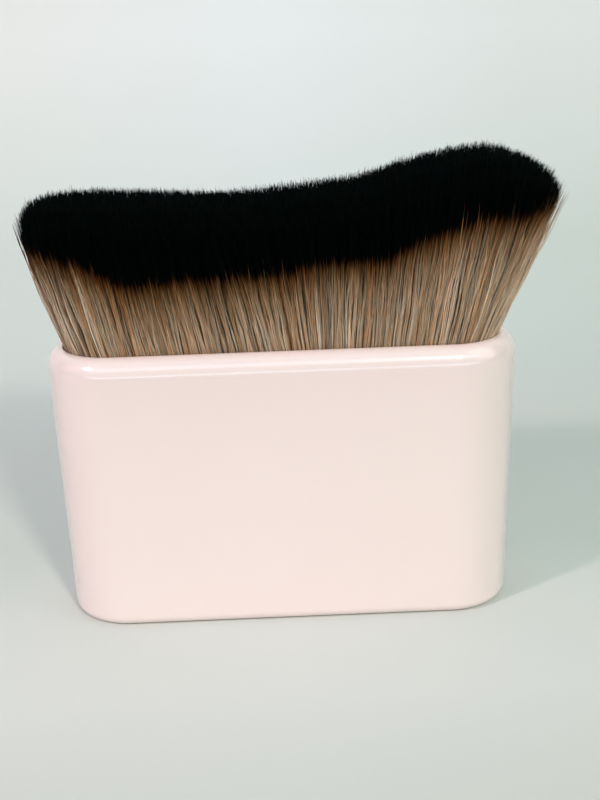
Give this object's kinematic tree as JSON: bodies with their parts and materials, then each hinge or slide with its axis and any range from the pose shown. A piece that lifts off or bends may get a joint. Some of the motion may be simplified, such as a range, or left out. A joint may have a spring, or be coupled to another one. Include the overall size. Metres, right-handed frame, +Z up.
{
  "type": "body makeup brush",
  "caption": "Wide body makeup brush: a glossy block handle that stands on its base and holds a flared, wave-cut head of dip-dyed bristles.",
  "frame": {"origin": "middle of the flat face that the handle stands on", "axes": "+X along the brush's width, towards the high end of the wave cut; -Y is the pictured front; +Z up, from the handle to the bristle tips"},
  "size_m": [0.1034, 0.031, 0.0902],
  "materials": {
    "handle": "glossy pale pink moulded ABS",
    "bristles": "fine brown nylon filaments with their tips dyed black",
    "ferrule": "bare pressed sheet",
    "resin": "poured amber epoxy",
    "glue": "clear bead"
  },
  "bodies": {
    "root": {"handle_shell": "handle", "bristle_bundle": "bristles", "ferrule_sleeve": "ferrule", "resin_plug": "resin", "glue_bead": "glue"}
  },
  "joints": []
}
